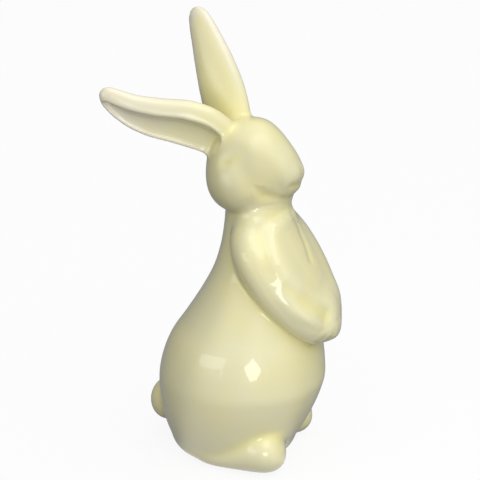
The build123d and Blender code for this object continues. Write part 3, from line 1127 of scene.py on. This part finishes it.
def build_floor(radius):
    """A round sheet of paper under the figure."""
    rings, spokes = FLOOR_RINGS, FLOOR_SPOKES
    turns = [2 * math.pi * i / spokes for i in range(spokes)]
    points = [(0.0, 0.0, 0.0)]
    for ring in range(1, rings + 1):
        reach = radius * (ring / rings) ** 2
        points += [(reach * math.cos(turn), reach * math.sin(turn), 0.0) for turn in turns]
    faces = [(0, 1 + i, 1 + (i + 1) % spokes) for i in range(spokes)]
    for ring in range(rings - 1):
        inner, outer = 1 + ring * spokes, 1 + (ring + 1) * spokes
        for i in range(spokes):
            j = (i + 1) % spokes
            faces.append((inner + i, outer + i, outer + j, inner + j))
    mesh = bpy.data.meshes.new("studio_floor")
    mesh.from_pydata(points, [], faces)
    mesh.materials.append(floor_material())
    floor = bpy.data.objects.new("studio_floor", mesh)
    floor.location.z = -FLOOR_DROP
    bpy.context.collection.objects.link(floor)


# Settings


class RabbitShapeSettings(bpy.types.PropertyGroup):
    """Sizes of the skin's mesh."""

    mesh_step: FloatProperty(
        name="Mesh Step", description="Size of the skin's faces", default=0.0008, min=0.0004, unit="LENGTH"
    )


def colour_property(name, description, default):
    """A colour setting with its alpha."""
    return FloatVectorProperty(
        name=name, description=description, default=default, size=4, subtype="COLOR", min=0, max=1
    )


class RabbitGlazeSettings(bpy.types.PropertyGroup):
    """Colours of the glaze and the clay."""

    glaze: colour_property("Glaze", "Glaze of usual depth", (0.80, 0.76, 0.46, 1.0))
    glaze_deep: colour_property("Deeper Glaze", "Glaze that ran a little thicker", (0.82, 0.76, 0.40, 1.0))
    pooled: colour_property("Pooled Glaze", "Glaze gathered in creases", (0.84, 0.77, 0.30, 1.0))
    thin: colour_property("Thin Glaze", "Glaze drawn thin over ridges and rims", (0.86, 0.80, 0.66, 1.0))
    clay: colour_property("Clay", "Unglazed clay under the base", (0.74, 0.68, 0.56, 1.0))


class RabbitStageSettings(bpy.types.PropertyGroup):
    """Where the camera stands and how bright the studio is."""

    azimuth: FloatProperty(name="Azimuth", description="Degrees round, from the front", default=-68.0)
    elevation: FloatProperty(name="Elevation", description="Degrees above the horizon", default=20.0)
    distance: FloatProperty(name="Distance", description="Camera distance", default=0.65, unit="LENGTH")
    surround: FloatProperty(name="Surround", description="Brightness of the surround", default=1.2)
    floor_radius: FloatProperty(
        name="Floor Radius", description="Size of the floor", default=2.5, unit="LENGTH"
    )


# Operators


class RABBIT_OT_torso(bpy.types.Operator):
    """Builds the glazed torso."""

    bl_idname = "rabbit.torso"
    bl_label = "Torso"

    def execute(self, context):
        make_piece("torso", glaze_material())
        return {"FINISHED"}


class RABBIT_OT_head(bpy.types.Operator):
    """Builds the glazed head."""

    bl_idname = "rabbit.head"
    bl_label = "Head"

    def execute(self, context):
        make_piece("head", glaze_material("satin_glaze", gloss_blur=0.26))
        return {"FINISHED"}


class RABBIT_OT_ears(bpy.types.Operator):
    """Builds both glazed ears."""

    bl_idname = "rabbit.ears"
    bl_label = "Ears"

    def execute(self, context):
        for name in ("left_ear", "right_ear"):
            # The ears' glaze grows lighter away from the head: painted light for their shaded hollows
            make_piece(name, glaze_material("satin_glaze_with_painted_light", gloss_blur=0.2, painted_light_share=0.65))
        return {"FINISHED"}


class RABBIT_OT_arms(bpy.types.Operator):
    """Builds both glazed arms."""

    bl_idname = "rabbit.arms"
    bl_label = "Arms"

    def execute(self, context):
        for name in ("left_arm", "right_arm"):
            make_piece(name, glaze_material())
        return {"FINISHED"}


class RABBIT_OT_feet(bpy.types.Operator):
    """Builds both glazed feet."""

    bl_idname = "rabbit.feet"
    bl_label = "Feet"

    def execute(self, context):
        for name in ("left_foot", "right_foot"):
            make_piece(name, glaze_material())
        return {"FINISHED"}


class RABBIT_OT_tail(bpy.types.Operator):
    """Builds the glazed tail."""

    bl_idname = "rabbit.tail"
    bl_label = "Tail"

    def execute(self, context):
        make_piece("tail", glaze_material())
        return {"FINISHED"}


class RABBIT_OT_stage(bpy.types.Operator):
    """Builds the floor, the surround, the soft lights and the camera."""

    bl_idname = "rabbit.stage"
    bl_label = "Stage"

    def execute(self, context):
        stage = context.scene.rabbit_stage
        build_floor(stage.floor_radius)
        build_world(stage.surround)
        lights = {name: add_softbox(name, *lamp) for name, lamp in LAMPS.items()}
        keep_off_head(lights["window"])
        lights["far_window"].visible_diffuse = False
        add_card(stage.azimuth + 180)
        build_camera(stage.azimuth, stage.elevation, stage.distance)
        context.scene.view_settings.view_transform = "Standard"
        return {"FINISHED"}


class RABBIT_PT_panel(bpy.types.Panel):
    """Lists the settings and the steps."""

    bl_label = "Rabbit"
    bl_idname = "RABBIT_PT_panel"
    bl_space_type = "VIEW_3D"
    bl_region_type = "UI"
    bl_category = "Rabbit"

    def draw(self, context):
        for group in (context.scene.rabbit_shape, context.scene.rabbit_glaze, context.scene.rabbit_stage):
            box = self.layout.box()
            for key in group.bl_rna.properties.keys():
                if key not in ("rna_type", "name"):
                    box.prop(group, key)
        for step in STEPS:
            self.layout.operator(step)


SETTINGS = (RabbitShapeSettings, RabbitGlazeSettings, RabbitStageSettings)
OPERATORS = (
    RABBIT_OT_torso,
    RABBIT_OT_head,
    RABBIT_OT_ears,
    RABBIT_OT_arms,
    RABBIT_OT_feet,
    RABBIT_OT_tail,
    RABBIT_OT_stage,
)
STEPS = [operator.bl_idname for operator in OPERATORS]
CLASSES = SETTINGS + OPERATORS + (RABBIT_PT_panel,)


def register():
    """Registers the classes and gives each scene its settings."""
    for cls in CLASSES:
        bpy.utils.register_class(cls)
    bpy.types.Scene.rabbit_shape = PointerProperty(type=RabbitShapeSettings)
    bpy.types.Scene.rabbit_glaze = PointerProperty(type=RabbitGlazeSettings)
    bpy.types.Scene.rabbit_stage = PointerProperty(type=RabbitStageSettings)


def unregister():
    """Takes the settings and the classes away again."""
    del bpy.types.Scene.rabbit_stage
    del bpy.types.Scene.rabbit_glaze
    del bpy.types.Scene.rabbit_shape
    for cls in reversed(CLASSES):
        bpy.utils.unregister_class(cls)


def main():
    """Registers the add-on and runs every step."""
    register()
    bpy.ops.rabbit.torso()
    bpy.ops.rabbit.head()
    bpy.ops.rabbit.ears()
    bpy.ops.rabbit.arms()
    bpy.ops.rabbit.feet()
    bpy.ops.rabbit.tail()
    bpy.ops.rabbit.stage()


if __name__ == "__main__":
    main()
